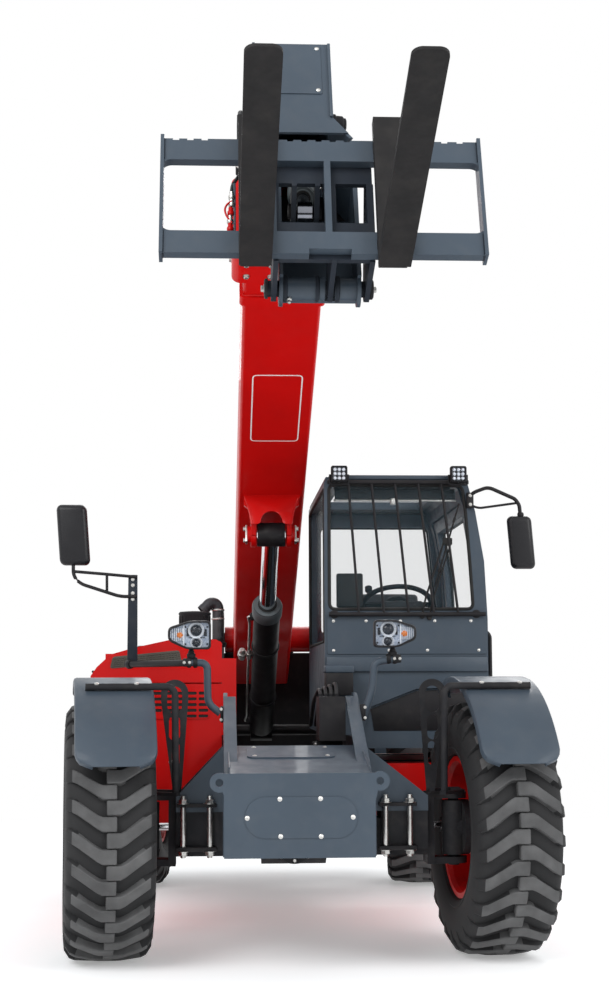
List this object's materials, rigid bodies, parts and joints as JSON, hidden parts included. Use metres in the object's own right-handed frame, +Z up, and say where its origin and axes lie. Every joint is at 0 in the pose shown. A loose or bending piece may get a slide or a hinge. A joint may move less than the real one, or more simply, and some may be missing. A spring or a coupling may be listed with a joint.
{
  "type": "telehandler",
  "caption": "Telescopic handler in red and slate grey with a side cab, raised boom, fork carriage, fenders on steered lugged wheels and an engine pod.",
  "frame": {"origin": "on the ground, at the middle of the whole machine's length and width in the rest pose", "axes": "-Y forwards to the forks, +Z up, +X to the driver's left, which is the cab's side"},
  "size_m": [2.471, 7.0816, 3.8751],
  "materials": {
    "red_paint": "gloss",
    "grey_paint": "satin",
    "black_paint": "satin",
    "forged_steel": "satin",
    "tyre": "matte",
    "chrome": "polished",
    "cast_iron": "matte",
    "steel_pipe": "matte",
    "glass": "clear",
    "black_plastic": "matte",
    "seat_fabric": "matte"
  },
  "bodies": {
    "chassis": {"frame": "black_paint", "nose": "grey_paint", "front_axle": "black_paint", "rear_axle": "black_paint", "engine_pod": "red_paint", "engine_block": "cast_iron", "exhaust": "steel_pipe", "side_tank": "red_paint", "cab_base": "grey_paint", "cab_frame": "grey_paint", "cab_glass": "glass", "cab_guard": "black_paint", "seat_base": "black_plastic", "seat_cushion": "seat_fabric", "seat_back": "seat_fabric", "driving_controls": "black_plastic", "lights": "black_plastic", "mirrors": "black_plastic", "counterweight": "grey_paint"},
    "front_rod": {"front_steering_rod": "chrome"},
    "rear_rod": {"rear_steering_rod": "chrome"},
    "outer_boom": {"boom": "red_paint"},
    "extension": {"inner_boom": "red_paint", "boom_head": "grey_paint"},
    "carriage": {"coupler": "grey_paint", "fork_carriage": "grey_paint", "forks": "forged_steel"},
    "lift_barrel": {"lift_cylinder_barrel": "black_paint"},
    "lift_rod": {"lift_cylinder_rod": "chrome"},
    "tilt_barrel": {"tilt_cylinder_barrel": "black_paint"},
    "tilt_rod": {"tilt_cylinder_rod": "chrome"},
    "door": {"cab_door": "grey_paint", "door_glass": "glass"},
    "hood": {"engine_hood": "red_paint"},
    "front_left_hub": {"front_left_knuckle": "black_paint", "front_left_fender": "grey_paint"},
    "front_left_wheel": {"front_left_tyre": "tyre", "front_left_rim": "red_paint"},
    "front_right_hub": {"front_right_knuckle": "black_paint", "front_right_fender": "grey_paint"},
    "front_right_wheel": {"front_right_tyre": "tyre", "front_right_rim": "red_paint"},
    "rear_left_hub": {"rear_left_knuckle": "black_paint", "rear_left_fender": "grey_paint"},
    "rear_left_wheel": {"rear_left_tyre": "tyre", "rear_left_rim": "red_paint"},
    "rear_right_hub": {"rear_right_knuckle": "black_paint", "rear_right_fender": "grey_paint"},
    "rear_right_wheel": {"rear_right_tyre": "tyre", "rear_right_rim": "red_paint"}
  },
  "joints": [
    {"name": "front_left_steer", "type": "hinge", "parent": "chassis", "child": "front_left_hub", "pos_m": [0.72, -0.5, 0.59], "axis": [0, 0, 1], "range_deg": [-40.5, 29.5]},
    {"name": "front_left_roll", "type": "hinge", "parent": "front_left_hub", "child": "front_left_wheel", "pos_m": [0.90415, -0.48227, 0.59], "axis": [0.9954, 0.0958, 0], "continuous": true},
    {"name": "front_right_steer", "type": "hinge", "parent": "chassis", "child": "front_right_hub", "pos_m": [-0.72, -0.5, 0.59], "axis": [0, 0, 1], "range_deg": [-40.5, 29.5]},
    {"name": "front_right_roll", "type": "hinge", "parent": "front_right_hub", "child": "front_right_wheel", "pos_m": [-0.90415, -0.51773, 0.59], "axis": [0.9954, 0.0958, 0], "continuous": true},
    {"name": "rear_left_steer", "type": "hinge", "parent": "chassis", "child": "rear_left_hub", "pos_m": [0.72, 2.45, 0.59], "axis": [0, 0, 1], "range_deg": [-29, 41]},
    {"name": "rear_left_roll", "type": "hinge", "parent": "rear_left_hub", "child": "rear_left_wheel", "pos_m": [0.90399, 2.43066, 0.59], "axis": [0.9945, -0.1045, 0], "continuous": true},
    {"name": "rear_right_steer", "type": "hinge", "parent": "chassis", "child": "rear_right_hub", "pos_m": [-0.72, 2.45, 0.59], "axis": [0, 0, 1], "range_deg": [-29, 41]},
    {"name": "rear_right_roll", "type": "hinge", "parent": "rear_right_hub", "child": "rear_right_wheel", "pos_m": [-0.90399, 2.46934, 0.59], "axis": [0.9945, -0.1045, 0], "continuous": true},
    {"name": "front_rod_slide", "type": "slide", "parent": "chassis", "child": "front_rod", "axis": [1, 0, 0], "range_m": [-0.08, 0.105]},
    {"name": "rear_rod_slide", "type": "slide", "parent": "chassis", "child": "rear_rod", "axis": [1, 0, 0], "range_m": [-0.08, 0.105]},
    {"name": "boom_lift", "type": "hinge", "parent": "chassis", "child": "outer_boom", "pos_m": [-0.1, 2.8, 1.565], "axis": [-1, 0, 0], "range_deg": [-30.33, 41.17]},
    {"name": "boom_extend", "type": "slide", "parent": "outer_boom", "child": "extension", "axis": [0, -0.9076, 0.4199], "range_m": [0, 2.6]},
    {"name": "carriage_tilt", "type": "hinge", "parent": "extension", "child": "carriage", "pos_m": [0, -2.05, 2.8], "axis": [1, 0, 0], "range_deg": [-10, 60]},
    {"name": "lift_barrel_swing", "type": "hinge", "parent": "chassis", "child": "lift_barrel", "pos_m": [-0.1, 2.7, 0.965], "axis": [-1, 0, 0], "range_deg": [-27, 36.5]},
    {"name": "lift_rod_slide", "type": "slide", "parent": "lift_barrel", "child": "lift_rod", "axis": [0, -0.8734, 0.4871], "range_m": [-0.285, 0.385]},
    {"name": "tilt_barrel_swing", "type": "hinge", "parent": "extension", "child": "tilt_barrel", "pos_m": [-0.06, -1.3858, 3.568], "axis": [1, 0, 0], "range_deg": [-1, 2]},
    {"name": "tilt_rod_slide", "type": "slide", "parent": "tilt_barrel", "child": "tilt_rod", "axis": [0, -0.8362, -0.5484], "range_m": [-0.055, 0.305]},
    {"name": "door_hinge", "type": "hinge", "parent": "chassis", "child": "door", "pos_m": [1.034, 1.554, 1.35], "axis": [0, 0, 1], "range_deg": [0, 90]},
    {"name": "hood_hinge", "type": "hinge", "parent": "chassis", "child": "hood", "pos_m": [-0.385, 0.75, 1.475], "axis": [0, 1, 0], "range_deg": [0, 60]}
  ],
  "couplings": [
    {"joint": "front_right_steer", "follows": "front_left_steer", "ratio": 1},
    {"joint": "rear_right_steer", "follows": "rear_left_steer", "ratio": 1},
    {"joint": "front_rod_slide", "follows": "front_left_steer", "m_per_rad": -0.141},
    {"joint": "rear_rod_slide", "follows": "rear_left_steer", "m_per_rad": 0.141},
    {"joint": "lift_barrel_swing", "follows": "boom_lift", "ratio": 0.88},
    {"joint": "lift_rod_slide", "follows": "boom_lift", "m_per_rad": 0.53},
    {"joint": "tilt_barrel_swing", "follows": "carriage_tilt", "ratio": 0.02},
    {"joint": "tilt_rod_slide", "follows": "carriage_tilt", "m_per_rad": 0.285}
  ]
}
